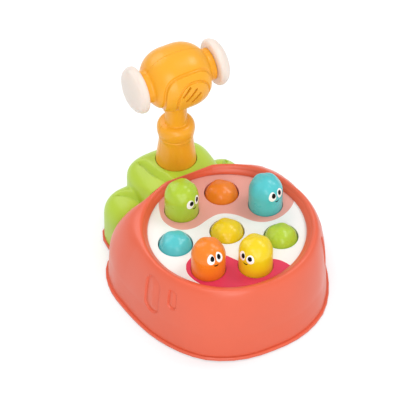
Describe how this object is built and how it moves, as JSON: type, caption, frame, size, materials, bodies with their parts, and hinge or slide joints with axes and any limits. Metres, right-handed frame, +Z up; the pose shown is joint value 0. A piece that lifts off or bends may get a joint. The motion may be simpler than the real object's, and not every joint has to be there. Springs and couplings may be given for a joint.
{
  "type": "mole pounding game",
  "caption": "Toddler's pounding game: carrot-shaped shell with a deck of see-saw moles that pop up in turn, and a lift-out hammer standing in the leaf.",
  "frame": {"origin": "on the ground under the middle of the whole object's bounding box", "axes": "+Z up and along the deck's outward normal; +Y from the carrot's nose to its leaf; +X to the player's right"},
  "size_m": [0.2078, 0.2354, 0.2208],
  "materials": {
    "coral_shell": "smooth satin gloss",
    "leaf_green": "smooth satin gloss",
    "deck_white": "smooth with a printed pink and magenta pattern",
    "hammer_orange": "smooth satin gloss",
    "pad_cream": "soft matt vinyl",
    "mole_yellow": "smooth satin gloss",
    "mole_green": "smooth satin gloss",
    "mole_blue": "smooth satin gloss",
    "mole_orange": "smooth satin gloss",
    "inner_grey": "plain moulded",
    "zinc_steel": "zinc plated",
    "foot_rubber": "matt"
  },
  "bodies": {
    "base": {"base_plate": "coral_shell", "body_screw_1": "zinc_steel", "body_screw_2": "zinc_steel", "body_screw_3": "zinc_steel", "body_screw_4": "zinc_steel", "body_screw_5": "zinc_steel", "body_shell": "coral_shell", "bracket_front": "inner_grey", "bracket_left": "inner_grey", "bracket_middle": "inner_grey", "bracket_right": "inner_grey", "bracket_screw_1": "zinc_steel", "bracket_screw_2": "zinc_steel", "bracket_screw_3": "zinc_steel", "bracket_screw_4": "zinc_steel", "bracket_screw_5": "zinc_steel", "bracket_screw_6": "zinc_steel", "bracket_screw_7": "zinc_steel", "bracket_screw_8": "zinc_steel", "deck_plate": "deck_white", "deck_screw_1": "zinc_steel", "deck_screw_2": "zinc_steel", "deck_screw_3": "zinc_steel", "deck_screw_4": "zinc_steel", "foot_1": "foot_rubber", "foot_2": "foot_rubber", "foot_3": "foot_rubber", "foot_4": "foot_rubber", "leaf_cover": "leaf_green", "leaf_screw_1": "zinc_steel", "leaf_screw_2": "zinc_steel", "pin_front": "zinc_steel", "pin_left": "zinc_steel", "pin_middle": "zinc_steel", "pin_right": "zinc_steel"},
    "hammer": {"hammer_back_shell": "hammer_orange", "hammer_front_shell": "hammer_orange", "hammer_pad_left": "pad_cream", "hammer_pad_right": "pad_cream", "hammer_screw_1": "zinc_steel", "hammer_screw_2": "zinc_steel", "hammer_screw_3": "zinc_steel", "hammer_squeaker": "inner_grey"},
    "mole_back_left": {"mole_back_left": "mole_green"},
    "mole_back_right": {"mole_back_right": "mole_orange"},
    "mole_front": {"mole_front": "mole_yellow"},
    "mole_front_left": {"mole_front_left": "mole_orange"},
    "mole_front_right": {"mole_front_right": "mole_green"},
    "mole_left": {"mole_left": "mole_blue"},
    "mole_middle": {"mole_middle": "mole_yellow"},
    "mole_right": {"mole_right": "mole_blue"},
    "rocker_front": {"rocker_front": "inner_grey"},
    "rocker_left": {"rocker_left": "inner_grey"},
    "rocker_middle": {"rocker_middle": "inner_grey"},
    "rocker_right": {"rocker_right": "inner_grey"}
  },
  "joints": [
    {"name": "hammer_lift", "type": "slide", "parent": "base", "child": "hammer", "axis": [0, 0, 1], "range_m": [0, 0.045]},
    {"name": "mole_front_slide", "type": "slide", "parent": "base", "child": "mole_front", "axis": [0, 0, 1], "range_m": [-0.025, 0]},
    {"name": "mole_front_right_slide", "type": "slide", "parent": "base", "child": "mole_front_right", "axis": [0, 0, 1], "range_m": [0, 0.025]},
    {"name": "rocker_front_tilt", "type": "hinge", "parent": "base", "child": "rocker_front", "pos_m": [0.02286, -0.06113, 0.027], "axis": [0.4926, -0.8702, 0], "range_deg": [0, 68.1]},
    {"name": "mole_right_slide", "type": "slide", "parent": "base", "child": "mole_right", "axis": [0, 0, 1], "range_m": [-0.025, 0]},
    {"name": "mole_back_right_slide", "type": "slide", "parent": "base", "child": "mole_back_right", "axis": [0, 0, 1], "range_m": [0, 0.025]},
    {"name": "rocker_right_tilt", "type": "hinge", "parent": "base", "child": "rocker_right", "pos_m": [0.03428, 0.01052, 0.027], "axis": [0.7388, 0.6739, 0], "range_deg": [0, 68.1]},
    {"name": "mole_back_left_slide", "type": "slide", "parent": "base", "child": "mole_back_left", "axis": [0, 0, 1], "range_m": [-0.025, 0]},
    {"name": "mole_left_slide", "type": "slide", "parent": "base", "child": "mole_left", "axis": [0, 0, 1], "range_m": [0, 0.025]},
    {"name": "rocker_left_tilt", "type": "hinge", "parent": "base", "child": "rocker_left", "pos_m": [-0.03811, 0.00571, 0.027], "axis": [-0.8214, 0.5703, 0], "range_deg": [0, 68.1]},
    {"name": "mole_front_left_slide", "type": "slide", "parent": "base", "child": "mole_front_left", "axis": [0, 0, 1], "range_m": [-0.025, 0]},
    {"name": "mole_middle_slide", "type": "slide", "parent": "base", "child": "mole_middle", "axis": [0, 0, 1], "range_m": [0, 0.025]},
    {"name": "rocker_middle_tilt", "type": "hinge", "parent": "base", "child": "rocker_middle", "pos_m": [-0.01902, -0.0381, 0.027], "axis": [0.6739, -0.7388, 0], "range_deg": [0, 58.1]}
  ],
  "couplings": [
    {"joint": "mole_front_right_slide", "follows": "mole_front_slide", "ratio": -1},
    {"joint": "rocker_front_tilt", "follows": "mole_front_slide", "rad_per_m": -47.494},
    {"joint": "mole_back_right_slide", "follows": "mole_right_slide", "ratio": -1},
    {"joint": "rocker_right_tilt", "follows": "mole_right_slide", "rad_per_m": -47.494},
    {"joint": "mole_left_slide", "follows": "mole_back_left_slide", "ratio": -1},
    {"joint": "rocker_left_tilt", "follows": "mole_back_left_slide", "rad_per_m": -47.494},
    {"joint": "mole_middle_slide", "follows": "mole_front_left_slide", "ratio": -1},
    {"joint": "rocker_middle_tilt", "follows": "mole_front_left_slide", "rad_per_m": -40.549}
  ]
}
